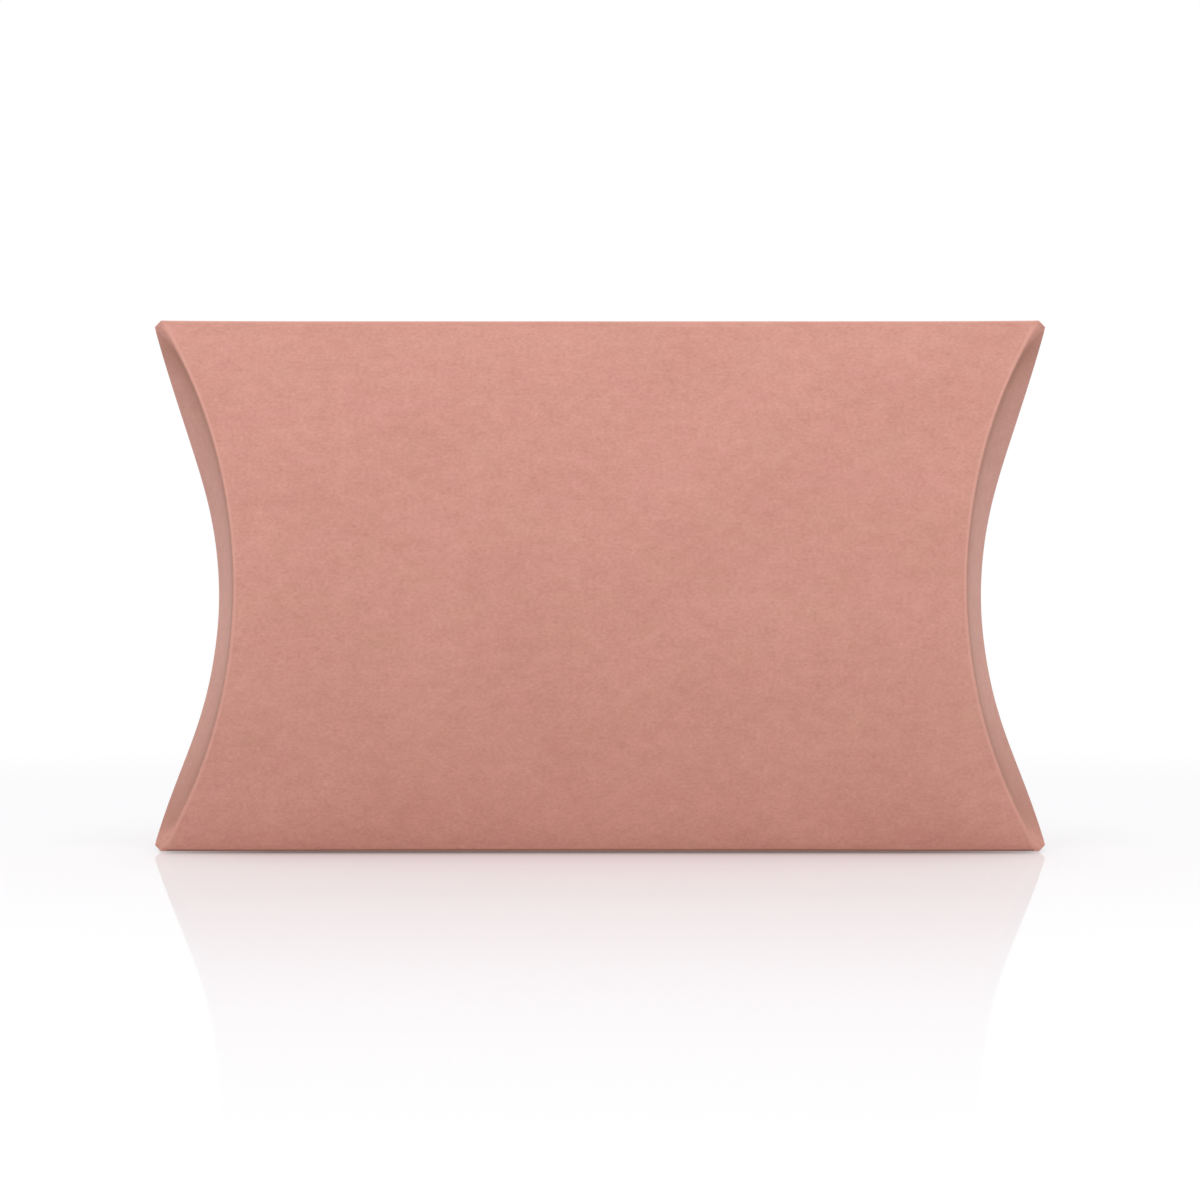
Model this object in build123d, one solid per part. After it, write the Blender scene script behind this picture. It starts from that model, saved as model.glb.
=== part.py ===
from build123d import *
import math
import os

# Pillow box: one die-cut, creased sheet of board, glued along its bottom edge and closed at both
# ends by pairs of curved flaps. +Z is up, X runs along the box and the front faces -Y. The origin
# is under the middle of the bottom fold, on which the box stands. Sizes are in millimetres.

# The closed box
box_length = 150.2        # tip to tip
box_height = 89.5         # from the bottom fold to the top fold
box_depth = 24.0          # across both bulges
board = 0.5               # thickness of the board
ridge_width = 0.8         # flat width of the board along a long fold
fold_height = 1.2         # how far a long fold's crushed board reaches up its panels

# The curved end creases
tip_length = 1.0          # how far the tips stand out past the ends of the folds
crease_sag = 13.6         # how far each crease dips toward the middle of the box
score_width = 0.9         # crushed band of board along a crease

# The seam: a tab folded in from the front panel and glued inside the back panel
lip_height = 0.4          # how far the bottom fold's lip wraps up under the back panel
seam_gap = 0.1            # between that lip and the back panel's cut edge
glue = 0.1                # thickness of the glue film on the back panel
glue_slack = 0.05         # between the film and the tab's slightly drier face
tab_height = 15.0
tab_setback = 2.5         # from the ends of the bottom fold to the tab
tab_taper = 10.0          # how much each end of the tab slants inward
glue_margin = 1.5         # bare edge of the tab around the glue

# The end flaps
flap_spring = 5.1         # how far an outer flap's free edge springs out past the crease
edge_drop = 1.9           # how far below the middle that free edge dips furthest
edge_tuck = 0.3           # from the back panel's outer face in to that free edge
tip_height = 1.3          # from a long fold to the tip of an outer flap
inner_relief = 4.0        # from a long fold to the end of an inner flap
inner_width_share = 0.58  # width of an inner flap, of the depth of the end
hinge_gap = 0.3           # between a crease's band and the root of its flap

# Each flap bends as it swings, so it is cut along the lines that stay straight into narrow leaves
flap_leaves = 7           # odd, so that one leaf lies in the middle
leaf_steps = 4            # ruled spans along one leaf
root_slit = 0.25          # between two leaves at the crease
outer_slit_share = 0.28   # how far a slit opens toward the free edge, of the turn that the
inner_slit_share = 0.45   # crease makes along one leaf: the leaves close up as they swing

# Values that follow from the sizes above
half_height = box_height / 2
crease_end = box_length / 2 - tip_length
crease_radius = (half_height**2 + crease_sag**2) / (2 * crease_sag)
bulge_rise = (box_depth - ridge_width) / 2
bulge_radius = (half_height**2 + bulge_rise**2) / (2 * bulge_rise)
bulge_centre = bulge_radius - box_depth / 2
glue_inner = board + glue
tab_outer = glue_inner + glue_slack
tab_inner = tab_outer + board
edge_low = half_height - edge_drop
edge_middle = crease_end - crease_sag + flap_spring
edge_rise = box_length / 2 - edge_middle

# Sides of the box, as signs along Y
FRONT, BACK = -1, 1


# Cross-section

def bulge_disc(side, layer):
    """Disc whose rim is one panel's arc, a layer inside the panel's outer face."""
    return Pos(-side * bulge_centre, half_height) * Circle(bulge_radius - layer)


def slab(low, high):
    """All of the cross-section between two heights."""
    return Pos(0, (low + high) / 2) * Rectangle(2 * box_depth, high - low)


def panel_section(side, low):
    """Curved wall of one panel, from a height up to the top fold."""
    wall = bulge_disc(FRONT, 0) & bulge_disc(BACK, 0)
    wall -= bulge_disc(side, board)
    return wall & slab(low, box_height - fold_height)


def top_fold_section():
    """Ridge where the front and back panels meet."""
    ridge = bulge_disc(FRONT, 0) & bulge_disc(BACK, 0)
    ridge -= bulge_disc(FRONT, board) & bulge_disc(BACK, board)
    return ridge & slab(box_height - fold_height, box_height)


def bottom_fold_section():
    """Sharp turn from the front panel up into the glue tab, inside the back panel's cut edge."""
    turn = bulge_disc(FRONT, 0) & bulge_disc(BACK, tab_outer) & slab(0, fold_height)
    turn -= bulge_disc(FRONT, board) & bulge_disc(BACK, tab_inner)
    lip = bulge_disc(FRONT, 0) & bulge_disc(BACK, 0) & slab(0, lip_height)
    return turn + lip


def lining_section(outer, inner, low, high):
    """Layer inside the back panel, between two depths and two heights."""
    layer = bulge_disc(BACK, outer) - bulge_disc(BACK, inner)
    return layer & bulge_disc(FRONT, 0) & slab(low, high)


# Outlines seen from the front

def crease_block(setback):
    """Block over the whole box whose ends follow the curved creases, set back inside them."""
    end = crease_end - setback
    dip = end - crease_sag
    outline = Line((-end, 0), (end, 0))
    outline += ThreePointArc((end, 0), (dip, half_height), (end, box_height))
    outline += Line((end, box_height), (-end, box_height))
    outline += ThreePointArc((-end, box_height), (-dip, half_height), (-end, 0))
    return extrude(Plane.XZ * make_face(outline), amount=box_depth, both=True)


def tab_block(inset):
    """Block over the glue tab, a trapezium with slanted ends."""
    foot = crease_end - tab_setback - inset
    head = foot - tab_taper
    outline = Polyline((-foot, 0), (foot, 0), (head, tab_height), (-head, tab_height), close=True)
    return extrude(Plane.XZ * make_face(outline), amount=box_depth, both=True)


def sheet(section, block):
    """Cross-section drawn out along the box and trimmed by an outline, half by half, so that
    both ends come out as exact mirror images."""
    half = extrude(Plane.YZ * section, amount=box_length) & block
    return half + mirror(half, about=Plane.YZ)


# End flaps, drawn for the right end

def crease_x(z):
    """Place of the crease along the box at a height."""
    rise = math.sqrt(crease_radius**2 - (z - half_height)**2)
    return crease_end - rise + crease_radius - crease_sag


def bulge_y(z):
    """Distance of a panel's outer face from the box's middle plane at a height."""
    return math.sqrt(bulge_radius**2 - (z - half_height)**2) - bulge_centre


def crease_point(side, z):
    """Outer corner of the crease of one panel."""
    return Vector(crease_x(z), side * bulge_y(z), z)


def outer_edge(z):
    """Free edge of the outer flap, which springs out past the back panel's crease."""
    span = box_height - tip_height - edge_low if z > edge_low else edge_low - tip_height
    share = abs(z - edge_low) / span
    return Vector(edge_middle + edge_rise * share**2 * (2 - share), bulge_y(z) - edge_tuck, z)


def inner_edge(z):
    """Free edge of the inner flap, which stops short of the front panel."""
    return Vector(crease_x(z), bulge_y(z) * (1 - 2 * inner_width_share), z)


def slit_margins(side, edge_at, z, spread):
    """Half of the slit between two leaves: at the crease and at the free edge."""
    width = (edge_at(z) - crease_point(side, z)).length
    return root_slit / 2, (root_slit + spread * width) / 2


def leaf_section(side, edge_at, root_z, edge_z):
    """Cut across a leaf, from just past the crease to the free edge."""
    corner = crease_point(side, root_z)
    edge = edge_at(edge_z)
    along = (edge - corner).normalized()
    root = corner + along * (board + hinge_gap)
    inward = Vector(side * along.Y, -side * along.X, 0).normalized() * board
    return make_face(Polyline(root, edge, edge + inward, root + inward, close=True))


def flap_heights(relief):
    """Heights of the borders between the leaves of one flap."""
    step = (box_height - 2 * relief) / flap_leaves
    return [relief + step * index for index in range(flap_leaves + 1)]


def flap_leaf(side, edge_at, heights, index, slit_share):
    """One leaf of a flap: a straight-ruled strip of board. The flap's own ends have no slit."""
    low, high = heights[index], heights[index + 1]
    spread = slit_share * (high - low) / crease_radius
    low_root, low_edge = slit_margins(side, edge_at, low, spread) if index > 0 else (0, 0)
    high_root, high_edge = slit_margins(side, edge_at, high, spread)
    if index == flap_leaves - 1:
        high_root, high_edge = 0, 0
    sections = []
    for step in range(leaf_steps + 1):
        share = step / leaf_steps
        root_z = (low + low_root) * (1 - share) + (high - high_root) * share
        edge_z = (low + low_edge) * (1 - share) + (high - high_edge) * share
        sections.append(leaf_section(side, edge_at, root_z, edge_z))
    return loft(sections, ruled=True)


# Each kind of flap: the side of its panel, its free edge, its relief at the folds, its slits
flap_kinds = {
    "outer": (FRONT, outer_edge, tip_height, outer_slit_share),
    "inner": (BACK, inner_edge, inner_relief, inner_slit_share),
}


# The pieces by name

def panels_and_folds():
    """Everything that one box body holds still: panels, folds, scored bands and the seam."""
    pieces = {}
    whole, short = crease_block(0), crease_block(score_width)
    pieces["top_fold"] = sheet(top_fold_section(), whole)
    pieces["bottom_fold"] = sheet(bottom_fold_section(), whole)
    sides = ((FRONT, "front", fold_height), (BACK, "back", lip_height + seam_gap))
    for side, name, low in sides:
        section = panel_section(side, low)
        pieces[f"{name}_panel"] = sheet(section, short)
        bands = sheet(section, whole - short).solids().sort_by(Axis.X)
        pieces[f"left_{name}_score"] = bands[0]
        pieces[f"right_{name}_score"] = bands[-1]
    tab = lining_section(tab_outer, tab_inner, fold_height, tab_height)
    film = lining_section(board, glue_inner, fold_height + glue_margin, tab_height - glue_margin)
    pieces["glue_tab"] = sheet(tab, tab_block(0))
    pieces["glue_line"] = sheet(film, tab_block(glue_margin))
    return pieces


def end_flaps():
    """The leaves of the four end flaps, numbered from the bottom."""
    pieces = {}
    for kind, (side, edge_at, relief, slit_share) in flap_kinds.items():
        heights = flap_heights(relief)
        for index in range(flap_leaves):
            leaf = flap_leaf(side, edge_at, heights, index, slit_share)
            pieces[f"right_{kind}_flap_leaf_{index + 1}"] = leaf
            pieces[f"left_{kind}_flap_leaf_{index + 1}"] = mirror(leaf, about=Plane.YZ)
    return pieces


os.makedirs("parts", exist_ok=True)
for name, shape in {**panels_and_folds(), **end_flaps()}.items():
    export_step(shape, f"parts/{name}.step")
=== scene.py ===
# %% [markdown]
# # A pillow box of rose kraft board
# The real object is one die-cut sheet of board. Two panels bulge between two long folds, and a
# pair of curved flaps closes each end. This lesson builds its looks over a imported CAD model.
# The CAD pieces say where everything is and how it moves. We could paint them as they are, but
# their creases are knife sharp, so the sheet is rebuilt here with rounded, crushed creases.
#
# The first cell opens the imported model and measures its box, which the looks must stay inside.

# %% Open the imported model
import bmesh
import bpy
import math
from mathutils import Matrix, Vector


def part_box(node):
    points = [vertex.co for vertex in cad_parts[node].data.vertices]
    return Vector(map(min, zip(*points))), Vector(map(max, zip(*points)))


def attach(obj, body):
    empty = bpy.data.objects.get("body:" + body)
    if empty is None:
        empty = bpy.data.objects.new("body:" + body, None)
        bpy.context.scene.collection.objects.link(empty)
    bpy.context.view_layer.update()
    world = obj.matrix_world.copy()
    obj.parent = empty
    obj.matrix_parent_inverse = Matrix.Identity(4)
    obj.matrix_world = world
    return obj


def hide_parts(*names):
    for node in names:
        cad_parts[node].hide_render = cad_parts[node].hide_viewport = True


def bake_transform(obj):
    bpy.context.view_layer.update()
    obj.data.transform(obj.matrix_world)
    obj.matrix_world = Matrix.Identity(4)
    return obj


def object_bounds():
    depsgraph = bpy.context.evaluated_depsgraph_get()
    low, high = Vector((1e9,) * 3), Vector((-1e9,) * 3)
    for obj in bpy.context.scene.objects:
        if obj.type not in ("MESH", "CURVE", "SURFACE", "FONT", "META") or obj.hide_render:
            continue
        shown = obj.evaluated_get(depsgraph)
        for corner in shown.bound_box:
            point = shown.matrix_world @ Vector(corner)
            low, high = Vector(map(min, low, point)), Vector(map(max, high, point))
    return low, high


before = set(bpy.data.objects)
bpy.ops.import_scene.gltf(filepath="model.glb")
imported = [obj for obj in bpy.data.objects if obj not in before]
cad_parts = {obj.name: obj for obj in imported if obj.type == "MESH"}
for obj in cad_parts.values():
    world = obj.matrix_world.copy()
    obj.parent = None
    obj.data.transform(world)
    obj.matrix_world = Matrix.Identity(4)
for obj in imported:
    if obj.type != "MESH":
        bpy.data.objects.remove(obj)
cad_low, cad_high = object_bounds()

# %% [markdown]
# ## The sizes of the sheet
# A pillow box has few sizes: its length, height and depth, and how far the curved creases dip.
# We read them back from the CAD pieces instead of typing them twice. Six can't be read from a
# box, so they are named here: the board's thickness, half the width of a long fold, and four
# that place the free edges of the flaps.

# %% Read the sizes
MM = 0.001
half_length = cad_high.x
height = cad_high.z
half_height = height / 2
half_depth = cad_high.y
board = 0.5 * MM
ridge_half = 0.4 * MM
flap_spring = 5.1 * MM     # how far an outer flap's free edge springs out past the crease
edge_drop = 1.9 * MM       # how far below the middle that edge dips furthest
edge_tuck = 0.3 * MM       # from the back panel's outer face in to that edge
inner_share = 0.58         # width of an inner flap, of the depth of the end

crease_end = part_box("top_fold")[1].x
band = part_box("right_front_score")[1].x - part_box("front_panel")[1].x
crease_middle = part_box("right_front_score")[0].x + band
crease_sag = crease_end - crease_middle
tip_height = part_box("right_outer_flap_leaf_1")[0].z
inner_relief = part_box("right_inner_flap_leaf_1")[0].z
print("crease ends at", round(crease_end / MM, 2), "and dips", round(crease_sag / MM, 2), "mm")
print("crushed band", round(band / MM, 2), "mm, flap tips at", round(tip_height / MM, 2), "mm")

# %% [markdown]
# ## The camera
# The photograph looks level at the front of the box, with no vertical lines leaning, so the
# camera stands on the middle line a little below half height and looks straight along +Y. A
# long lens from over half a metre keeps both ends square, as in a studio shot of packaging.

# %% Set the camera
CAMERA_AWAY = 561.7 * MM
CAMERA_HEIGHT = 42.4 * MM
camera_data = bpy.data.cameras.new("studio_camera")
camera_data.lens = 100
camera_data.sensor_width = 36
camera_data.clip_start = 0.01
camera_data.clip_end = 20
camera = bpy.data.objects.new("studio_camera", camera_data)
camera.location = (0, -CAMERA_AWAY, CAMERA_HEIGHT)
camera.rotation_euler = (math.radians(90), 0, 0)
bpy.context.scene.collection.objects.link(camera)
bpy.context.scene.camera = camera
frame_width = camera_data.sensor_width / camera_data.lens * CAMERA_AWAY
print("the view is", round(frame_width / MM, 1), "mm wide at the box")

# %% [markdown]
# ## Wiring nodes
# The light, the floor and the board are all node trees. Written out, each node takes a line to
# make it and a line for every setting and link. These short helpers take the tree and what goes
# into the node, and hand back what comes out of it. An input can be a plain value or another
# node's output.

# %% Short ways to wire nodes
WHITE = (1, 1, 1, 1)


def plug(tree, node, inputs):
    """Fill a node's inputs, by name or by number, with plain values or other nodes' outputs."""
    for key, value in inputs.items():
        if isinstance(value, bpy.types.NodeSocket):
            tree.links.new(value, node.inputs[key])
        else:
            node.inputs[key].default_value = value


def add_node(tree, kind, inputs=None, **settings):
    """New node with its settings and inputs."""
    node = tree.nodes.new(kind)
    for name, value in settings.items():
        setattr(node, name, value)
    plug(tree, node, inputs or {})
    return node


def maths(tree, operation, a, b=0.5):
    """One operation on one or two numbers."""
    return add_node(tree, "ShaderNodeMath", {0: a, 1: b}, operation=operation).outputs[0]


def spread(tree, value, low, high, to_low, to_high, smooth=False):
    """A value moved from one range to another, and kept inside it."""
    limits = {"From Min": low, "From Max": high, "To Min": to_low, "To Max": to_high}
    shape = "SMOOTHSTEP" if smooth else "LINEAR"
    node = add_node(tree, "ShaderNodeMapRange", {"Value": value, **limits},
                    interpolation_type=shape)
    return node.outputs["Result"]


def noise(tree, vector, scale, detail, rough=0.5):
    """Cloudy noise between 0 and 1."""
    inputs = {"Vector": vector, "Scale": scale, "Detail": detail, "Roughness": rough}
    return add_node(tree, "ShaderNodeTexNoise", inputs).outputs["Fac"]


def drawn_out(tree, vector, share):
    """Coordinates squeezed along X, so that a noise on them is drawn out that way."""
    inputs = {0: vector, 1: (share, 1, 1)}
    return add_node(tree, "ShaderNodeVectorMath", inputs, operation="MULTIPLY").outputs[0]


def mix_shaders(tree, mask, a, b):
    """Shader node a turned into shader node b by a mask."""
    return add_node(tree, "ShaderNodeMixShader", {0: mask, 1: a.outputs[0], 2: b.outputs[0]})


def mix_colours(tree, mask, a, b, blend="MIX"):
    """Colour a turned toward colour b by a mask."""
    inputs = {"Factor": mask, 6: a, 7: b}
    return add_node(tree, "ShaderNodeMix", inputs, data_type="RGBA", blend_type=blend).outputs[2]


print("the helpers share one way to add a node:", add_node.__name__)

# %% [markdown]
# ## The light
# The box was shot in a white tent: soft light from everywhere, a little more from above and
# from the front. One way would be many lamps. A bright, even world does the same with less
# noise, and one wide softbox above the camera gives the slow fade down the bulge. The tent's
# two side walls are a little dimmer, so that the end flaps fall off beside the panel. Camera
# rays and mirror rays see the world as plain white, which makes the white background.

# %% Light the studio
TENT_WHITE = (1, 0.995, 0.99, 1)
TENT_LEVEL = 0.91
SIDE_LEVEL = 0.53
SIDE_STARTS = 0.3          # how far sideways the dimming starts, of all the way
SOFTBOX_PLACE = (0, -0.45, 0.95)
SOFTBOX_SIZE = (0.9, 0.6)
SOFTBOX_WATTS = 3.1
scene = bpy.context.scene
scene.view_settings.view_transform = "Standard"
world = bpy.data.worlds.new("white_tent")
scene.world = world
world.use_nodes = True
tree = world.node_tree
tree.nodes.clear()
rays = add_node(tree, "ShaderNodeLightPath").outputs
seen = maths(tree, "MAXIMUM", rays["Is Camera Ray"], rays["Is Glossy Ray"])
seen = maths(tree, "MAXIMUM", seen, rays["Is Transmission Ray"])
way_out = add_node(tree, "ShaderNodeTexCoord").outputs["Generated"]
sideways = add_node(tree, "ShaderNodeSeparateXYZ", {0: way_out}).outputs["X"]
level = spread(tree, maths(tree, "ABSOLUTE", sideways), SIDE_STARTS, 1.0, TENT_LEVEL, SIDE_LEVEL)
tent = add_node(tree, "ShaderNodeBackground", {"Color": TENT_WHITE, "Strength": level})
backdrop = add_node(tree, "ShaderNodeBackground", {"Color": WHITE, "Strength": 1})
either = mix_shaders(tree, seen, tent, backdrop)
add_node(tree, "ShaderNodeOutputWorld", {"Surface": either.outputs[0]})

lamp = bpy.data.lights.new("overhead_softbox", "AREA")
lamp.shape = "RECTANGLE"
lamp.size, lamp.size_y = SOFTBOX_SIZE
lamp.energy = SOFTBOX_WATTS
softbox = bpy.data.objects.new("overhead_softbox", lamp)
softbox.location = SOFTBOX_PLACE
facing = Vector((0, 0, half_height)) - Vector(SOFTBOX_PLACE)
softbox.rotation_euler = facing.to_track_quat("-Z", "Y").to_euler()
scene.collection.objects.link(softbox)
print("tent", TENT_LEVEL, "at its front and back, softbox", SOFTBOX_WATTS, "W")

# %% [markdown]
# ## The floor
# The box stands on glossy white acrylic: a faint mirror image hangs under it and fades toward
# the camera. The floor is a plain sheet. Its white comes from a pale colour plus a little glow
# that only the camera sees, so a shadow on it still shows. A thin gloss layer makes the mirror
# image, which is strongest under the box and fades before and behind it. Far from the box the
# floor turns into the plain white backdrop, so that no horizon line shows. From below it is
# clear, so that the underside of the box can be looked at.
#
# Where the panels bulge over the floor it lies in a contact shadow. The glow would wash that
# out, so it is drawn as a brown shade, dark at the fold, with a narrow core and a wider skirt.
# It stops at the ends of the fold and weakens toward them, where the fold lifts a hair.

# %% Lay the floor
FLOOR_HALF = 6.0
FLOOR_DROP = 0.02 * MM
FLOOR_WHITE = (0.797, 0.8, 0.822, 1)
GLOW = 0.165
MIRROR = 0.24
MIRROR_FULL, MIRROR_GONE = 0.08, 0.34          # distances from the fold
BACKDROP_STARTS, BACKDROP_FULL = 0.12, 0.42    # distances from the middle of the box
SHADE_BROWN = (0.054, 0.004, 0.001, 1)
CORE, CORE_REACH = 0.58, 4.5 * MM
SKIRT, SKIRT_REACH = 0.26, 9 * MM
SHADE_ENDS = 4 * MM        # the shadow stops over this length at the ends of the box
WEAKENS, GONE = 50 * MM, 100 * MM              # from the middle; the box itself ends between
floor_corners = ((-1, -1), (1, -1), (1, 1), (-1, 1))
mesh = bpy.data.meshes.new("studio_floor")
mesh.from_pydata([(x * FLOOR_HALF, y * FLOOR_HALF, 0) for x, y in floor_corners], [],
                 [(0, 1, 2, 3)])
floor = bpy.data.objects.new("studio_floor", mesh)
floor.location.z = -FLOOR_DROP
scene.collection.objects.link(floor)
acrylic = bpy.data.materials.new("white_acrylic")
acrylic.use_nodes = True
tree = acrylic.node_tree
tree.nodes.clear()
camera_ray = add_node(tree, "ShaderNodeLightPath").outputs["Is Camera Ray"]
place = add_node(tree, "ShaderNodeNewGeometry").outputs
split = add_node(tree, "ShaderNodeSeparateXYZ", {0: place["Position"]}).outputs
from_fold = maths(tree, "ABSOLUTE", split["Y"])
from_middle = maths(tree, "ABSOLUTE", split["X"])

matte = add_node(tree, "ShaderNodeBsdfDiffuse", {"Color": FLOOR_WHITE})
glow_level = maths(tree, "MULTIPLY", camera_ray, GLOW)
glow = add_node(tree, "ShaderNodeEmission", {"Color": WHITE, "Strength": glow_level})
lit = add_node(tree, "ShaderNodeAddShader", {0: matte.outputs[0], 1: glow.outputs[0]})

core = maths(tree, "MULTIPLY", maths(tree, "POWER", from_fold, 2), -1 / CORE_REACH**2)
core = maths(tree, "MULTIPLY", maths(tree, "EXPONENT", core), CORE)
skirt = maths(tree, "MULTIPLY", from_fold, -1 / SKIRT_REACH)
skirt = maths(tree, "MULTIPLY", maths(tree, "EXPONENT", skirt), SKIRT)
under_fold = spread(tree, from_middle, half_length - SHADE_ENDS, half_length, 1.0, 0.0, True)
lifted = spread(tree, from_middle, WEAKENS, GONE, 1.0, 0.0, True)
there = maths(tree, "MULTIPLY", under_fold, lifted)
dark = maths(tree, "MULTIPLY", maths(tree, "ADD", core, skirt), there)
dark = maths(tree, "MULTIPLY", dark, camera_ray)
shade = add_node(tree, "ShaderNodeEmission", {"Color": SHADE_BROWN})
grounded = mix_shaders(tree, dark, lit, shade)

gloss = add_node(tree, "ShaderNodeBsdfGlossy", {"Color": WHITE, "Roughness": 0.03})
gloss_share = spread(tree, from_fold, MIRROR_FULL, MIRROR_GONE, MIRROR, 0.0)
coated = mix_shaders(tree, gloss_share, grounded, gloss)

distance = add_node(tree, "ShaderNodeVectorMath", {0: place["Position"]}, operation="LENGTH")
far = spread(tree, distance.outputs["Value"], BACKDROP_STARTS, BACKDROP_FULL, 0.0, 1.0, True)
backdrop = add_node(tree, "ShaderNodeEmission", {"Color": WHITE, "Strength": 1})
seamless = mix_shaders(tree, maths(tree, "MULTIPLY", far, camera_ray), coated, backdrop)
clear = add_node(tree, "ShaderNodeBsdfTransparent")
either = mix_shaders(tree, place["Backfacing"], seamless, clear)
add_node(tree, "ShaderNodeOutputMaterial", {"Surface": either.outputs[0]})
mesh.materials.append(acrylic)
print("floor", 2 * FLOOR_HALF, "m square, mirror share", MIRROR)

# %% [markdown]
# ## The curves of the box
# Everything hangs on two circular arcs. Seen from the end, each panel is an arc from fold to
# fold. Seen from the front, each crease is an arc that dips toward the middle. These helpers
# give a point of the sheet for any height, for either panel, at the right end. The left end is
# its mirror image.

# %% Draw the curves
bulge_rise = half_depth - ridge_half
bulge_radius = (half_height**2 + bulge_rise**2) / (2 * bulge_rise)
bulge_centre = bulge_radius - half_depth
crease_radius = (half_height**2 + crease_sag**2) / (2 * crease_sag)
FRONT, BACK = -1, 1
LEFT, RIGHT = -1, 1
SQUEEZED = 0.02 * MM       # the nearest that a panel's inner face comes to the middle plane


def bulge(z, layer=0.0):
    """Distance of a panel's face from the middle plane, a layer inside the outer face."""
    radius = bulge_radius - layer
    return math.sqrt(max(radius**2 - (z - half_height)**2, 0)) - bulge_centre


def face_depth(z, layer):
    """The same, but never past the middle plane, where the two panels would meet."""
    return max(bulge(z, layer), SQUEEZED)


def crease_reach(z):
    """How far from the middle of the box the crease lies at a height."""
    rise = math.sqrt(crease_radius**2 - (z - half_height)**2)
    return crease_end - rise + crease_radius - crease_sag


def along_bulge(z):
    """Length of board from the bottom fold up to a height."""
    return bulge_radius * (math.asin((z - half_height) / bulge_radius)
                           + math.asin(half_height / bulge_radius))


def corner(side, z):
    """Point of the right end's crease."""
    return Vector((crease_reach(z), side * bulge(z), z))


def near_fold(z):
    """Height above the bottom fold or below the top one, whichever is nearer."""
    return min(z, height - z)


def hump(distance, reach):
    """1 in the middle of a smooth hump, falling to nothing a few times its reach away."""
    return math.exp(-(distance / reach)**2)


def bezier(start, turn, finish, t):
    """Point of a curve that leaves its start toward a turn and comes from it to its finish."""
    return start * (1 - t)**2 + turn * (2 * t * (1 - t)) + finish * t**2


print("bulge radius", round(bulge_radius / MM, 1), "crease radius", round(crease_radius / MM, 1))
print("board from fold to fold:", round(along_bulge(height) / MM, 1), "mm")

# %% [markdown]
# ## The free edges of the flaps
# The outer flap at each end closes over the inner one. Its free edge runs from tip to tip, and
# springs out in the middle because the board wants to lie flat again. Above and below the
# middle it is held in by a few tenths of a millimetre more than in the CAD model, as the
# photograph shows. At the two tips the die slants it off to the end of the long fold. The inner
# flap stops short of the front.

# %% Draw the free edges
edge_low = half_height - edge_drop
edge_middle = crease_end - crease_sag + flap_spring
edge_rise = half_length - edge_middle
SLANT = 1.05 * MM          # height of the slanted tip
SLANT_CURVE = 1.15         # how much it curves; 1 is straight
tip_foot = 0.25 * MM       # where it ends above the fold
TIP_OUT = 0.1 * MM         # how far it ends past the crease
TIP_DEPTH = 0.05 * MM      # and behind the middle plane
HELD_IN = (                # how far the edge is held in, at which height, and how far round it
    (0.62 * MM, height / 4, 12 * MM),
    (0.28 * MM, height * 0.65, 11 * MM),
)


def outer_edge(z):
    """Free edge of the outer flap, with the small slanted ends that meet the long folds."""
    inside = min(max(z, SLANT), height - SLANT)
    reach = height - tip_height - edge_low if inside > edge_low else edge_low - tip_height
    share = min(abs(inside - edge_low) / reach, 1.0)
    held = sum(amount * hump(inside - at, wide) for amount, at, wide in HELD_IN)
    point = Vector((edge_middle + edge_rise * share**2 * (2 - share) - held,
                    bulge(inside) - edge_tuck, inside))
    past = abs(z - inside) / (SLANT - tip_foot)
    if past > 0:
        foot = tip_foot if z < half_height else height - tip_foot
        end = Vector((crease_end + TIP_OUT, TIP_DEPTH, foot))
        point = point.lerp(end, min(past, 1.0)**SLANT_CURVE)
    return point


def inner_edge(z):
    """Free edge of the inner flap."""
    return Vector((crease_reach(z), bulge(z) * (1 - 2 * inner_share), z))


print("outer flap's edge at the middle:", [round(c / MM, 2) for c in outer_edge(half_height)])

# %% [markdown]
# ## Making a sheet of board
# Every visible piece is a strip of the same board: an outer face, an inner face half a
# millimetre behind it, and cut edges between them. A Solidify modifier could add the thickness,
# but then neighbouring pieces wouldn't meet exactly at the creases. So each piece is made from
# two grids of points, one per face, and the helper sews them together.
#
# Each point also carries two values for the material. "flat_sheet" is where the point lay on
# the unfolded sheet, so that the fibres run on across a crease as they do in real board.
# "crease" holds wear and painted light. It is 1 on the crown of a crease, where the fibres are
# stretched and pale and a highlight is painted on them, near -1 in the crushed groove beside it,
# where shade is painted, and down to -2 on the foot of the box, where the shade at the floor is
# painted. The top fold's crest gets a painted highlight through it too.

# %% A helper that sews two grids into a board
OUTSIDE, INSIDE, CUT = 0, 1, 2
INNER_SHIFT = 0.3          # moves the inner face to other fibres than the outer one's


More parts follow.
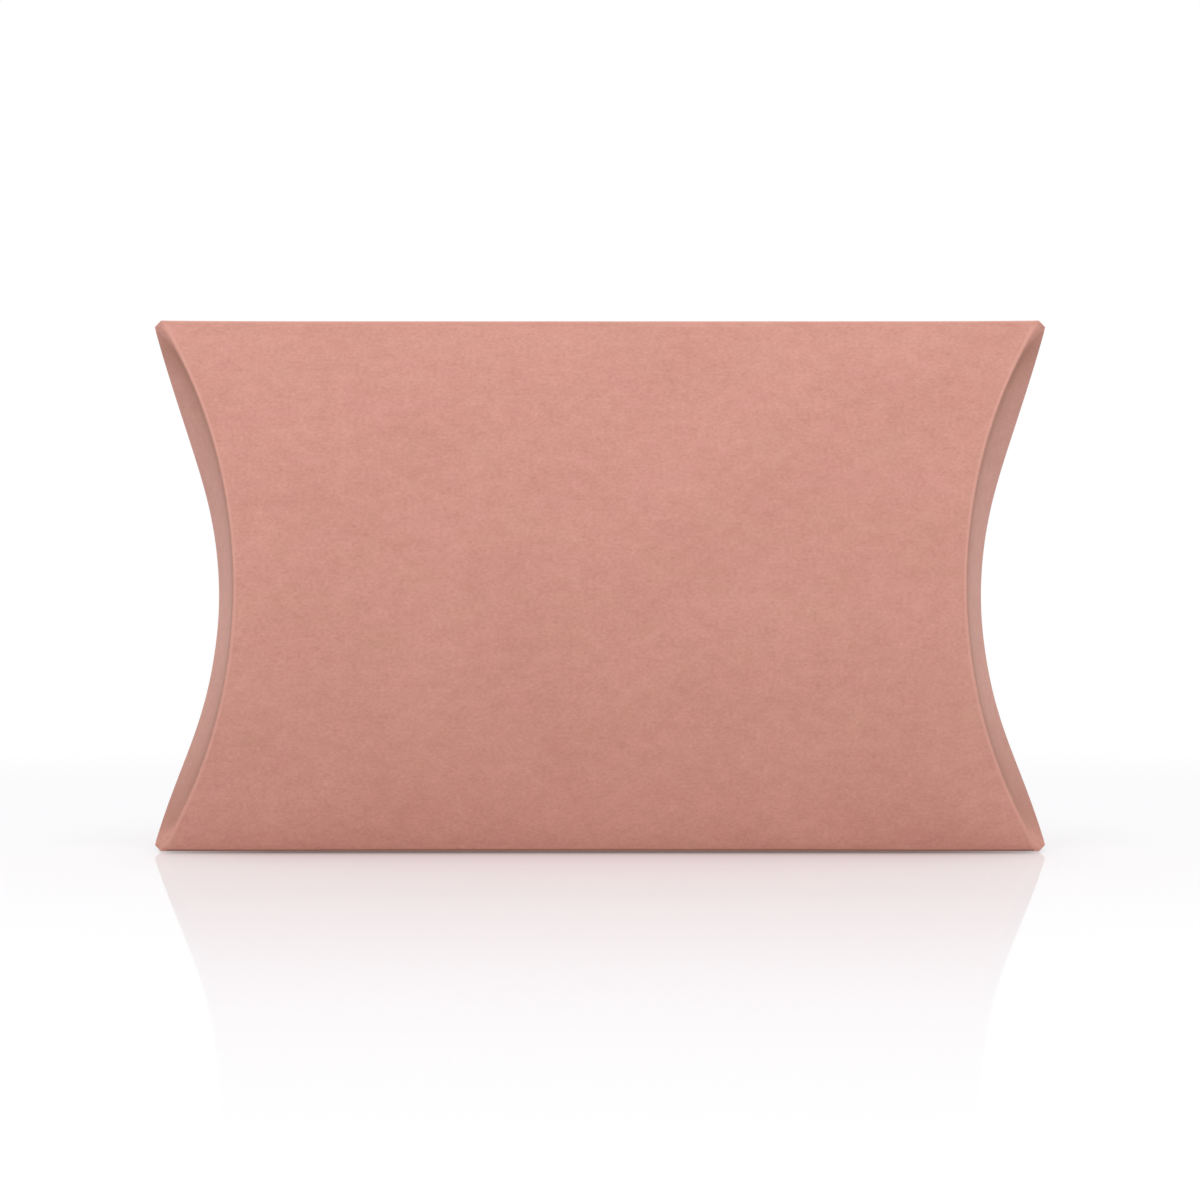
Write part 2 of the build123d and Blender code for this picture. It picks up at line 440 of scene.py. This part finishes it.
def board_piece(name, outer, inner, sheet, wear_and_light=None, cut_sides=(0, 1, 2, 3)):
    """Closed piece of board from two grids of points, rows by columns."""
    rows, columns = len(outer), len(outer[0])
    build = bmesh.new()
    flat_layer = build.verts.layers.float_vector.new("flat_sheet")
    crease_layer = build.verts.layers.float.new("crease")
    faces = []
    for layer, points in ((0, outer), (1, inner)):
        grid = []
        for r in range(rows):
            line = []
            for c in range(columns):
                vert = build.verts.new(points[r][c])
                along, up = sheet[r][c]
                vert[flat_layer] = (along, up, INNER_SHIFT * layer)
                vert[crease_layer] = wear_and_light[r][c] if wear_and_light and layer == 0 else 0.0
                line.append(vert)
            grid.append(line)
        faces.append(grid)
    top, under = faces
    for r in range(rows - 1):
        for c in range(columns - 1):
            a = (top[r][c], top[r][c + 1], top[r + 1][c + 1], top[r + 1][c])
            b = (under[r + 1][c], under[r + 1][c + 1], under[r][c + 1], under[r][c])
            for corners, kind in ((a, OUTSIDE), (b, INSIDE)):
                face = build.faces.new(corners)
                face.material_index = kind
                face.smooth = True
    rims = [
        [(0, c) for c in range(columns)],
        [(r, columns - 1) for r in range(rows)],
        [(rows - 1, c) for c in range(columns - 1, -1, -1)],
        [(r, 0) for r in range(rows - 1, -1, -1)],
    ]
    for side, rim in enumerate(rims):
        for (r0, c0), (r1, c1) in zip(rim, rim[1:]):
            face = build.faces.new((top[r1][c1], top[r0][c0], under[r0][c0], under[r1][c1]))
            face.material_index = CUT if side in cut_sides else OUTSIDE
            face.smooth = False
            for edge in face.edges:
                edge.smooth = False
    bmesh.ops.recalc_face_normals(build, faces=build.faces)
    mesh = bpy.data.meshes.new(name)
    build.to_mesh(mesh)
    build.free()
    piece = bpy.data.objects.new(name, mesh)
    scene.collection.objects.link(piece)
    return piece


def mirrored(points, end):
    """The same grid for the left or right end."""
    return [[Vector((end * p.x, p.y, p.z)) for p in line] for line in points]


print("faces of a piece:", {"outside": OUTSIDE, "inside": INSIDE, "cut edge": CUT})

# %% [markdown]
# ## The two panels
# Each panel is a curved wall between the two long folds and the two creases. It is ruled: at
# one height it is a straight line from crease to crease. So a grid with one row per height
# follows it exactly. It stops a little before each crease, where the crushed band begins. The
# back panel reaches down to its own cut edge, which is glued over the tab just above the floor.

# %% Build the panels
PANEL_ROWS = 120
PANEL_COLUMNS = 48
fold_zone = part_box("top_fold")[1].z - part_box("top_fold")[0].z
seam_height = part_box("back_panel")[0].z
panel_tall = height - 2 * fold_zone
panel_rows = [fold_zone + panel_tall * r / PANEL_ROWS for r in range(PANEL_ROWS + 1)]
back_rows = [seam_height, (seam_height + fold_zone) / 2] + panel_rows
pieces = {}


def panel_grid(side, layer):
    """Points of one panel's face, and where they lay on the flat sheet."""
    points, sheet = [], []
    for z in panel_rows if side == FRONT else back_rows:
        reach = crease_reach(z) - band
        line, flat = [], []
        for c in range(PANEL_COLUMNS + 1):
            x = reach * (2 * c / PANEL_COLUMNS - 1)
            line.append(Vector((x, side * face_depth(z, layer), z)))
            flat.append((x, side * along_bulge(z)))
        points.append(line)
        sheet.append(flat)
    return points, sheet


for side, name in ((FRONT, "front"), (BACK, "back")):
    outer, sheet = panel_grid(side, 0)
    inner, _ = panel_grid(side, board)
    skin = board_piece(f"{name}_panel_skin", outer, inner, sheet, cut_sides=(0,))
    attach(skin, "box_body")
    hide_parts(f"{name}_panel")
    pieces[skin.name] = skin
print("panel skins:", len(panel_rows), "rows of", PANEL_COLUMNS + 1, "points")

# %% [markdown]
# ## The scored creases
# A curved crease is pressed into the board before it is folded. Folded, it shows as a thin
# bright crown where the outer fibres stretch, with a narrow dark groove on the flap's side. The
# crown is a real rounded form here, not only paint, because its highlight has to move with the
# light. Its paint is partly paler fibres and partly a painted highlight, and the groove's dark
# is painted shade. The band starts where the panel stops, and each strip of flap starts where
# it stops.
#
# In a level cut across the crease, the band runs straight along the panel, rounds the corner
# as a Bezier curve, and ends facing along the flap.

# %% Build the crease bands
CROWN = 0.42 * MM          # how far the crown reaches on each side of the crease
TIP_CROWN = 0.6 * MM       # how much softer it is at a tip
TIP_CROWN_REACH = 4 * MM
SWELL = 0.05 * MM          # how far the stretched crown stands out
MITRE = 1.2 * board        # the most that the inner corner is pulled back
TIP_REACH = 3.5 * MM       # how far from a tip the crease gets its groove
TIP_PALE = 0.85            # pale wear and painted highlight of the crown at a tip
LEAST_FRESH = 0.4          # share of the paleness and painted light that shows at the very tip
FRESH_REACH = 2 * MM
# Values over 0 paint the crown pale: stretched fibres and a painted highlight. Values under 0 paint
# the groove's shade.
LEAD_IN = ((0, 0.0), (0.35, 0.1), (0.7, 0.45))                    # place and paleness up to the crown
ACROSS = (0.8, 1.0, 1.0, 0.85, 0.45, 0.0, -0.35, -0.65, -0.9)     # paleness over the crown, then shade
tip_foot_rows = [tip_foot * share for share in (0.5, 1, 1.6, 2.3, 3, 3.8)]
score_rows = tip_foot_rows + panel_rows + [height - z for z in reversed(tip_foot_rows)]


def flap_width(side, edge_at, z):
    """Level distance from the crease to the free edge."""
    span = edge_at(z) - corner(side, z)
    return math.hypot(span.x, span.y)


def rounding(side, edge_at, z):
    """How far the crown reaches on each side of the crease. It softens toward the tips."""
    soft = CROWN + TIP_CROWN * math.exp(-near_fold(z) / TIP_CROWN_REACH)
    return min(soft, 0.35 * flap_width(side, edge_at, z), 0.9 * band)


def tipness(z):
    """1 at a tip and falling to 0 a few millimetres away, where the crease gets its groove."""
    return hump(near_fold(z), TIP_REACH)


def freshness(z):
    """How much paleness and painted light shows: less at the tips, where the board is only just
    creased.
    """
    return min(1.0, LEAST_FRESH + near_fold(z) / FRESH_REACH)


def flap_way(side, edge_at, z):
    """Unit vector from the crease to the flap's free edge, and the one square to it, inward."""
    way = edge_at(z) - corner(side, z)
    way.z = 0
    way.normalize()
    return way, Vector((side * way.y, -side * way.x, 0))


def inner_corner(side, edge_at, z):
    """Where the inner faces of the panel and the flap meet."""
    _, inward = flap_way(side, edge_at, z)
    shift_y = -side * (bulge(z) - face_depth(z, board))
    shift_x = (board - inward.y * shift_y) / inward.x
    return corner(side, z) + Vector((max(shift_x, -MITRE), shift_y, 0))


def crease_row(side, edge_at, z):
    """Outer and inner points of the band at one height, from the panel to the flap."""
    at = corner(side, z)
    way, inward = flap_way(side, edge_at, z)
    back = Vector((-1, 0, 0))
    out_way = -(way + back)
    out_way.normalize()
    bend = rounding(side, edge_at, z)
    outer, wear_and_light = [], []
    # Paleness here is stretched fibres and a painted highlight; values under 0 are painted shade
    for share, pale in LEAD_IN:
        outer.append(at + back * (band - (band - bend) * share))
        wear_and_light.append(pale * freshness(z))
    last = len(ACROSS) - 1
    for step, pale in enumerate(ACROSS):
        pale += (TIP_PALE - pale) * tipness(z)
        t = step / last
        point = bezier(at + back * bend, at, at + way * bend, t)
        point += out_way * (SWELL * math.sin(math.pi * t))
        point.y = side * min(side * point.y, bulge(z))
        outer.append(point)
        wear_and_light.append(pale * freshness(z))
    inside = inner_corner(side, edge_at, z)
    start = Vector((at.x - band, side * face_depth(z, board), z))
    finish = at + way * (bend + max((inside - at).dot(way), 0)) + inward * board
    last = len(outer) - 1
    inner = [bezier(start, inside, finish, step / last) for step in range(last + 1)]
    return outer, inner, wear_and_light


flap_kinds = {"outer": (FRONT, outer_edge), "inner": (BACK, inner_edge)}
for side, edge_at in flap_kinds.values():
    panel = "front" if side == FRONT else "back"
    outer, inner, wear_and_light = zip(*[crease_row(side, edge_at, z) for z in score_rows])
    for end, word in ((LEFT, "left"), (RIGHT, "right")):
        sheet = []
        for z, row in zip(score_rows, outer):
            run, line = crease_reach(z) - band, []
            for before, point in zip([row[0]] + row, row):
                run += (point - before).length
                line.append((end * run, side * along_bulge(z)))
            sheet.append(line)
        crease = board_piece(f"{word}_{panel}_crease", mirrored(outer, end),
                             mirrored(inner, end), sheet, wear_and_light, cut_sides=())
        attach(crease, "box_body")
        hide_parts(f"{word}_{panel}_score")
        pieces[crease.name] = crease
print("crease crown", round(2 * CROWN / MM, 2), "mm wide, raised", round(SWELL / MM, 2), "mm")

# %% [markdown]
# ## The long folds
# Along the top and bottom the sheet turns back on itself in a tight ridge. The front panel's
# face runs up, rounds over less than a millimetre of crushed board, and comes down as the back
# panel. The bottom ridge is different behind: it carries on up as the glue tab, and the back
# panel's cut edge lies over it, a fine line just above the floor. The box stands on that ridge,
# so its lowest half millimetre is painted dark with the shade where it meets the floor, most of
# all in the middle. The top one has a painted highlight along its crest. Both turn up a hair
# toward their ends.

# %% Build the long folds
FOLD_STEPS = 14
FOLD_COLUMNS = 60
CREST = 0.35 * MM          # height of the rounded part of a fold
CREST_PULL = 0.33 * MM     # how far above the fold its curve is pulled
HOLLOW = 0.75 * MM         # how deep the inside starts
HOLLOW_RISE = 0.1 * CREST  # how much the inside is rounded
TUCK_BOARD = 0.15 * MM     # board left under the back panel's cut edge
TUCK_START = 1.1           # where it begins, in heights of that edge
TOP_SAG = 0.12 * MM        # how far the top fold's middle lies below its ends
FOOT_LIFT = 0.1 * MM       # how far the bottom fold's ends lift
BOW_POWER = 8              # how late toward the ends they do
END_INSET = 0.12 * MM      # from the end of the crease to the end of a fold
# The top fold's pale crest is a painted highlight
HIGHLIGHT_HEIGHT = 0.55 * MM
HIGHLIGHT_PALE, PALEST = 1.5, 0.9
# The bottom fold's dark foot is painted shade, where it meets the floor
FOOT_SHADE_HEIGHT = 0.56 * MM
FOOT_SHADE_AMOUNT, FOOT_SHADE_MOST = 2.5, 2.0
FOOT_SHADE_MIDDLE, FOOT_SHADE_LESS = 1.12, 0.4     # taller in the middle, and less so at the ends
front_flank = (0, 0.3, 0.55, 0.7, 0.85)    # shares of the height up to the rounded crest
back_flank = (0.6, 0.3, 0)


def side_points(sign, shares):
    """Points up one flank of the top fold, as depth and height."""
    foot = height - fold_zone
    levels = [foot + (fold_zone - CREST) * share for share in shares]
    return [(sign * bulge(z), z) for z in levels]


def fold_profile(top):
    """Rounded cross-section of a long fold, from the front panel over to the back."""
    z = height - CREST
    start, finish = Vector((-bulge(z), z)), Vector((bulge(z), z))
    turn = Vector((0, height + CREST_PULL))
    points = side_points(FRONT, front_flank)
    for step in range(FOLD_STEPS + 1):
        at = bezier(start, turn, finish, step / FOLD_STEPS)
        points.append((at.x, min(at.y, height)))
    if top:
        points += side_points(BACK, back_flank)
    else:
        tuck = bulge(height - seam_height, board)
        points += [(tuck, height - seam_height * TUCK_START), (tuck, height - fold_zone)]
        points = [(y, height - z) for y, z in points]
    return points


def inner_profile(points, top):
    """The inside of the same fold, point for point, with its own narrower crest."""
    foot, brim, deep = height - fold_zone, height - CREST, height - HOLLOW
    line = []
    for index, (y, z) in enumerate(points):
        z = z if top else height - z
        if index > len(front_flank) + FOLD_STEPS and not top:
            line.append((y - TUCK_BOARD, z))
        elif z < brim:
            level = foot + (deep - foot) * (z - foot) / (brim - foot)
            line.append((math.copysign(bulge(level, board), y), level))
        else:
            share = y / bulge(brim)
            line.append((share * bulge(deep, board), deep + HOLLOW_RISE * (1 - share**2)))
    return line if top else [(y, height - z) for y, z in line]


def bowed(z, share):
    """Both folds turn up a hair toward their two ends."""
    past_top = max(z - (height - fold_zone), 0) / fold_zone
    past_foot = max(fold_zone - z, 0) / fold_zone
    return z - TOP_SAG * past_top * (1 - share**BOW_POWER) + FOOT_LIFT * past_foot * share**BOW_POWER


def crest_highlight(near):
    """How much highlight is painted on the top fold near its crest."""
    return min(PALEST, HIGHLIGHT_PALE * max(0.0, 1 - near / HIGHLIGHT_HEIGHT))


def foot_shade(near, share):
    """How much shade is painted on the bottom fold near the floor: most in the middle of the box."""
    tall = FOOT_SHADE_HEIGHT * (FOOT_SHADE_MIDDLE - FOOT_SHADE_LESS * share**2)
    return min(FOOT_SHADE_MOST, max(0.0, FOOT_SHADE_AMOUNT * (1 - near / tall)))


for top, name in ((True, "top"), (False, "bottom")):
    profile = fold_profile(top)
    hollow = inner_profile(profile, top)
    outer, inner, sheet, wear_and_light = [], [], [], []
    run = 0.0
    shares = [2 * c / FOLD_COLUMNS - 1 for c in range(FOLD_COLUMNS + 1)]
    for (y, z), (hy, hz), (py, pz) in zip(profile, hollow, [profile[0]] + profile):
        run += math.hypot(y - py, z - pz)
        near = near_fold(z)
        crest = max(0.0, 1 - near / CREST)
        reach = crease_reach(min(max(z, 0), height)) - band * (1 - crest)
        reach = min(reach, crease_end - END_INSET)
        outer.append([Vector((reach * share, y, bowed(z, share))) for share in shares])
        inner.append([Vector((reach * share, hy, bowed(hz, share))) for share in shares])
        flat = (1 if top else -1) * (along_bulge(height) + run)
        sheet.append([(reach * share, flat) for share in shares])
        wear_and_light.append([crest_highlight(near) if top else -foot_shade(near, share) for share in shares])
    ridge = board_piece(f"{name}_fold_ridge", outer, inner, sheet, wear_and_light, cut_sides=())
    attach(ridge, "box_body")
    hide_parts(f"{name}_fold")
    pieces[ridge.name] = ridge
print("long folds:", len(profile), "points round each ridge")

# %% [markdown]
# ## The end flaps
# A flap on a curved crease bends as it swings, so the CAD model cuts it along its straight
# lines into seven leaves, each on its own hinge. Here every leaf is hidden and a strip of board
# is built in its place. Neighbouring strips share their border, so the closed flap is one
# smooth surface.
#
# Beside the crown runs a groove, pressed in, with shade painted into it that fades out across
# the flap. More painted shade darkens a flap toward the two long folds, where little light gets
# in behind the panels' corners.

# %% Build the flaps
LEAVES = 7
LEAF_ROWS = 12
CLOSE_COLUMNS = (0, 0.2, 0.4, 0.7, 1.0, 1.35, 1.75, 2.3, 3.0)    # millimetres past the crown
CLOSE_SHARE = 0.8          # they keep to this share of a narrow flap
CREEP = 0.12               # and fill up with steps of this share of what is left
EVEN_COLUMNS = 14
SLANT_ROWS = (0, 0.3, 0.6, 0.85)
GROOVE = 0.09 * MM         # depth of the groove
GROOVE_WIDTH = 1.9         # millimetres from the crown to its far side
GROOVE_SHADE = ((0.4, 1.6), (0.5, 6))    # painted shade past the crown, over how many millimetres
DARKEST = -0.95            # painted shade in its darkest place
TIP_PALE_WIDTH = 1.1       # millimetres past the crown that a tip keeps its painted highlight
GROOVE_LOW = 13 * MM       # how far up from the bottom fold it eases in
# Painted shade toward the top and bottom folds: how dark, and how far it reaches
TOP_DUSK, TOP_DUSK_REACH = 0.5, 8 * MM
FOOT_DUSK, FOOT_DUSK_REACH = 0.58, 18 * MM
CORNER_BOARD = 0.3 * MM    # board that the corner takes up on the flat sheet
CLEAR = 0.05 * MM          # added to the crown's reach below


def flap_steps(first, width):
    """Distances from the crease of the points across a flap: close at first, then even."""
    steps = [first + c * MM for c in CLOSE_COLUMNS if first + c * MM < CLOSE_SHARE * width]
    while len(steps) < len(CLOSE_COLUMNS):
        steps.append(steps[-1] + CREEP * (width - steps[-1]))
    last = steps[-1]
    steps += [last + (width - last) * c / EVEN_COLUMNS for c in range(1, EVEN_COLUMNS + 1)]
    return steps


def flap_row(side, edge_at, z):
    """Outer and inner points of a flap at one height, from the crease to the free edge."""
    at = corner(side, z)
    way, inward = flap_way(side, edge_at, z)
    width = flap_width(side, edge_at, z)
    first = rounding(side, edge_at, z)
    steps = flap_steps(first, width)
    root = first + max((inner_corner(side, edge_at, z) - at).dot(way), 0)
    rise = edge_at(z).z - z
    soft = tipness(z)
    eased = 1 - hump(z, GROOVE_LOW)
    dusk = TOP_DUSK * hump(height - z, TOP_DUSK_REACH) + FOOT_DUSK * hump(z, FOOT_DUSK_REACH)
    outer, inner, wear_and_light = [], [], []
    for step in steps:
        past = (step - first) / MM
        dip = math.sin(math.pi * min(past / GROOVE_WIDTH, 1.0))**2 if past > 0 else 0.0
        lift = Vector((0, 0, rise * (step / width)**2))
        outer.append(at + way * step + inward * (GROOVE * dip * (1 - soft) * eased) + lift)
        # Painted shade in the groove and toward the folds; near a tip a painted highlight instead
        dark = sum(share * math.exp(-past / fade) for share, fade in GROOVE_SHADE)
        groove = max(-eased * dark - dusk, DARKEST)
        crown = TIP_PALE * freshness(z) * hump(past, TIP_PALE_WIDTH)
        wear_and_light.append(groove + (crown - groove) * soft)
        under = root + (width - root) * (step - first) / (width - first)
        inner.append(at + way * under + inward * board + lift)
    return outer, inner, wear_and_light, steps


def leaf_heights(kind, index):
    """Heights of the rows of one strip: its CAD leaf's share of the crease."""
    relief = tip_height if kind == "outer" else inner_relief
    step = (height - 2 * relief) / LEAVES
    low, high = relief + step * index, relief + step * (index + 1)
    slant = [tip_foot + (SLANT - tip_foot) * share for share in SLANT_ROWS]
    below, above = [], []
    if kind == "outer" and index == 0:
        low, below = SLANT, slant
    if kind == "outer" and index == LEAVES - 1:
        high, above = height - SLANT, [height - z for z in reversed(slant)]
    return below + [low + (high - low) * r / LEAF_ROWS for r in range(LEAF_ROWS + 1)] + above


for kind, (side, edge_at) in flap_kinds.items():
    for index in range(LEAVES):
        heights = leaf_heights(kind, index)
        outer, inner, wear_and_light, steps = zip(*[flap_row(side, edge_at, z) for z in heights])
        for end, word in ((LEFT, "left"), (RIGHT, "right")):
            leaf = f"{word}_{kind}_flap_leaf_{index + 1}"
            sheet = [[(end * (crease_reach(z) + CORNER_BOARD + step), side * along_bulge(z))
                      for step in row] for z, row in zip(heights, steps)]
            strip = board_piece(f"{word}_{kind}_flap_strip_{index + 1}", mirrored(outer, end),
                                mirrored(inner, end), sheet, wear_and_light)
            way, _ = flap_way(side, edge_at, heights[len(heights) // 2])
            way.x *= end
            held = max(rounding(side, edge_at, z) for z in heights) + CLEAR
            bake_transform(strip)
            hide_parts(leaf)
            pieces[strip.name] = strip
print("flap strips:", sum("strip" in name for name in pieces))

# %% [markdown]
# ## The board as a material
# Rose kraft board is dyed pulp, matte and soft. Four things show up close: a faint mottle a
# few millimetres wide, where the pulp lies thicker; a fine grain; patches a little pinker or
# more tan; and stray fibres, pale and dark, thin as hair. They all come from noise on the
# flat_sheet coordinates, drawn out a little along the way the board ran through its mill. The
# same pulp is used in several materials, so it is one node group with its own sockets.

# %% A node group for pulp and fibres
FLOAT, VECTOR = "NodeSocketFloat", "NodeSocketVector"
THREAD = 0.02              # how far from its middle a noise still makes a thread
PATCH_STARTS, PATCH_FULL = 0.5, 0.6


def new_group(name, inputs, outputs):
    """Empty shader node group with named sockets, and its inside ends."""
    group = bpy.data.node_groups.new(name, "ShaderNodeTree")
    for label, kind, value in inputs:
        socket = group.interface.new_socket(name=label, in_out="INPUT", socket_type=kind)
        if value is not None:
            socket.default_value = value
    for label in outputs:
        group.interface.new_socket(name=label, in_out="OUTPUT", socket_type=FLOAT)
    given = group.nodes.new("NodeGroupInput").outputs
    made = group.nodes.new("NodeGroupOutput")
    return group, given, made


def centred(tree, value, share):
    """A noise moved to vary round 0 instead of 0.5, and scaled."""
    return maths(tree, "MULTIPLY", maths(tree, "SUBTRACT", value, 0.5), share)


pulp, given, made = new_group(
    "pulp_and_fibres",
    [("Sheet", VECTOR, None), ("Cloud", FLOAT, 1.0), ("Grain", FLOAT, 1.0), ("Fibre", FLOAT, 1.0)],
    ["Tone", "Tint", "Pale Fibre", "Dark Fibre", "Relief"])
on_sheet = given["Sheet"]
big_cloud = noise(pulp, drawn_out(pulp, on_sheet, 0.7), 60, 2)
mottle = noise(pulp, drawn_out(pulp, on_sheet, 0.75), 420, 4, 0.62)
grain = noise(pulp, drawn_out(pulp, on_sheet, 0.7), 2200, 3, 0.55)
clouds = maths(pulp, "ADD", centred(pulp, big_cloud, 0.55), centred(pulp, mottle, 0.85))
clouds = maths(pulp, "MULTIPLY", clouds, given["Cloud"])
specks = maths(pulp, "MULTIPLY", centred(pulp, grain, 1.15), given["Grain"])
tint = noise(pulp, drawn_out(pulp, on_sheet, 0.6), 150, 5, 0.7)
for label, wander_scale, patch_scale in (("Pale Fibre", 620, 560), ("Dark Fibre", 760, 640)):
    # Short curved threads: the thin band where one noise crosses its middle, kept in patches
    wander = noise(pulp, drawn_out(pulp, on_sheet, 0.55), wander_scale, 2, 0.45)
    off_middle = maths(pulp, "ABSOLUTE", maths(pulp, "SUBTRACT", wander, 0.5))
    thread = spread(pulp, off_middle, 0.0, THREAD, 1.0, 0.0, True)
    patch = noise(pulp, on_sheet, patch_scale, 1)
    patch = spread(pulp, patch, PATCH_STARTS, PATCH_FULL, 0.0, 1.0, True)
    fibres = maths(pulp, "MULTIPLY", maths(pulp, "MULTIPLY", thread, patch), given["Fibre"])
    plug(pulp, made, {label: fibres})
plug(pulp, made, {
    "Tone": maths(pulp, "ADD", clouds, specks),
    "Tint": spread(pulp, tint, 0.28, 0.72, 0.0, 1.0),
    "Relief": maths(pulp, "ADD", maths(pulp, "MULTIPLY", grain, 0.6),
                    maths(pulp, "MULTIPLY", mottle, 0.4)),
})
print("group", pulp.name, "with", len(pulp.nodes), "nodes")

# %% [markdown]
# ## Wear and painted light on the creases
# A crown is paler than the sheet, because folding stretches and polishes its fibres, and a
# highlight is painted on it as well. It isn't even: it breaks up where the board took the fold
# more softly. The groove beside it is darkened with painted shade. One group turns the
# "crease" value of a point into those two masks, with some noise on the sheet to break the
# lines up. Values down to -2 stand for the foot of the box, where the shade under the bottom
# fold at the floor is painted.

# %% A node group for crease wear
wear_and_light_group, given, made = new_group(
    "crease_wear_and_painted_light",
    [("Sheet", VECTOR, None), ("Crease", FLOAT, 0.0), ("Break", FLOAT, 0.5)],
    ["Crown", "Groove", "Foot Shade"])
patchy = spread(wear_and_light_group, noise(wear_and_light_group, given["Sheet"], 520, 3, 0.6), 0.35, 0.65, 0.0, 1.0)
keep = maths(wear_and_light_group, "SUBTRACT", 1.0, maths(wear_and_light_group, "MULTIPLY", patchy, given["Break"]))
crown = spread(wear_and_light_group, given["Crease"], 0.35, 0.95, 0.0, 1.0, True)
plug(wear_and_light_group, made, {
    "Crown": maths(wear_and_light_group, "MULTIPLY", crown, keep),
    "Groove": spread(wear_and_light_group, given["Crease"], -0.05, -0.95, 0.0, 1.0),
    "Foot Shade": spread(wear_and_light_group, given["Crease"], -1.0, -2.0, 0.0, 1.0),
})
print("group", wear_and_light_group.name, "with", len(wear_and_light_group.nodes), "nodes")

# %% [markdown]
# ## The finishes
# The outside is the rose face. The inside is the same pulp, a little plainer and darker, as
# it was never rolled against the smooth plate. The cut edge shows raw fibre, paler and rougher.
# The glue tab is the same board as the inside, and the glue is a thin cream film. All of them
# are a Principled shader whose colour, roughness and bump come from the groups. The tab and the
# glue are CAD pieces, which have no flat_sheet values, so their noise lies on their own shape.

# %% Mix the board finishes
def linear(red, green, blue):
    """A colour as a picture editor names it, as the linear values that shaders use."""
    def one(value):
        value /= 255
        return value / 12.92 if value <= 0.04045 else ((value + 0.055) / 1.055)**2.4
    return (one(red), one(green), one(blue), 1)


PINKER = (1.0, 0.965, 0.985, 1)
TANNER = (0.99, 1.03, 0.975, 1)
SHEEN_PEACH = (1, 0.88, 0.78, 1)
# The colour of the painted shade on the foot of the box
PAINTED_FOOT_SHADE = linear(190, 158, 149)
PALE_FIBRES, DARK_FIBRES = 0.16, 0.3
BROKEN = 0.35              # how much the pale crowns break up
BUMP_HEIGHT = 0.08 * MM

# Dark and pale pulp, pale and dark fibres, crown with its painted highlight, groove with its
# painted shade, as a picture editor names them
FACE = ((197, 138, 124), (222, 162, 149), (232, 182, 168), (178, 120, 106),
        (220, 163, 148), (168, 114, 97))
PLAIN = ((186, 130, 115), (211, 155, 140), (226, 176, 160), (166, 114, 100),
         (222, 172, 156), (156, 110, 97))
RAW = ((200, 152, 136), (226, 184, 168), (238, 206, 192), (180, 128, 112),
       (230, 190, 176), (160, 118, 104))
CREAM = ((205, 190, 160), (228, 218, 190), (240, 232, 210), (198, 180, 150),
         (235, 225, 200), (180, 160, 130))


def board_finish(name, colours, rough, cloud=1.0, grain=1.0, fibre=1.0, bump=0.12,
                 on_sheet=True):
    """Kraft board: two tones of pulp, stray fibres, pale crowns with a painted highlight, and
    grooves and a foot of painted shade.
    """
    dark, pale, pale_fibre, dark_fibre, crown, groove = [linear(*colour) for colour in colours]
    material = bpy.data.materials.new(name)
    material.use_nodes = True
    tree = material.node_tree
    if on_sheet:
        place = add_node(tree, "ShaderNodeAttribute", attribute_name="flat_sheet").outputs["Vector"]
    else:
        place = add_node(tree, "ShaderNodeTexCoord").outputs["Object"]
    amounts = {"Sheet": place, "Cloud": cloud, "Grain": grain, "Fibre": fibre}
    body = add_node(tree, "ShaderNodeGroup", amounts, node_tree=pulp).outputs
    tone = spread(tree, body["Tone"], -0.5, 0.5, 0.0, 1.0)
    hue = mix_colours(tree, body["Tint"], PINKER, TANNER)
    colour = mix_colours(tree, 1.0, mix_colours(tree, tone, dark, pale), hue, "MULTIPLY")
    pale_mask = maths(tree, "MULTIPLY", body["Pale Fibre"], PALE_FIBRES)
    colour = mix_colours(tree, pale_mask, colour, pale_fibre)
    dark_mask = maths(tree, "MULTIPLY", body["Dark Fibre"], DARK_FIBRES)
    colour = mix_colours(tree, dark_mask, colour, dark_fibre)
    if on_sheet:
        crease = add_node(tree, "ShaderNodeAttribute", attribute_name="crease").outputs["Fac"]
        marks = {"Sheet": place, "Crease": crease, "Break": BROKEN}
        wear_and_light = add_node(tree, "ShaderNodeGroup", marks, node_tree=wear_and_light_group).outputs
        # Crowns take a painted highlight over their pale fibres; grooves and the foot take painted
        # shade
        for mask, wear_and_light_colour in (("Crown", crown), ("Groove", groove), ("Foot Shade", PAINTED_FOOT_SHADE)):
            colour = mix_colours(tree, wear_and_light[mask], colour, wear_and_light_colour)
    smooth, coarse = rough
    raised = {"Strength": bump, "Distance": BUMP_HEIGHT, "Height": body["Relief"]}
    plug(tree, tree.nodes["Principled BSDF"], {
        "Base Color": colour,
        "Roughness": spread(tree, body["Tone"], -0.5, 0.5, coarse, smooth),
        "Specular IOR Level": 0.29,
        "Sheen Weight": 0.12,
        "Sheen Roughness": 0.4,
        "Sheen Tint": SHEEN_PEACH,
        "Normal": add_node(tree, "ShaderNodeBump", raised).outputs["Normal"],
    })
    return material


rose_face = board_finish("rose_kraft_face", FACE, (0.62, 0.8))
rose_inside = board_finish("rose_kraft_inside", PLAIN, (0.75, 0.92),
                           cloud=1.3, grain=1.2, fibre=1.4)
raw_edge = board_finish("raw_cut_edge", RAW, (0.8, 0.95), cloud=0.6, grain=2.0, bump=0.3)
tab_board = board_finish("glue_tab_board", PLAIN, (0.75, 0.92),
                         cloud=1.3, grain=1.2, on_sheet=False)
dried_glue = board_finish("dried_glue", CREAM, (0.25, 0.45),
                          cloud=1.5, grain=0.3, fibre=0.2, on_sheet=False)
for piece in pieces.values():
    for finish in (rose_face, rose_inside, raw_edge):
        piece.data.materials.append(finish)
for node, finish in (("glue_tab", tab_board), ("glue_line", dried_glue)):
    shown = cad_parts[node]
    shown.data.materials.clear()
    shown.data.materials.append(finish)
print("pieces painted:", len(pieces) + 2)
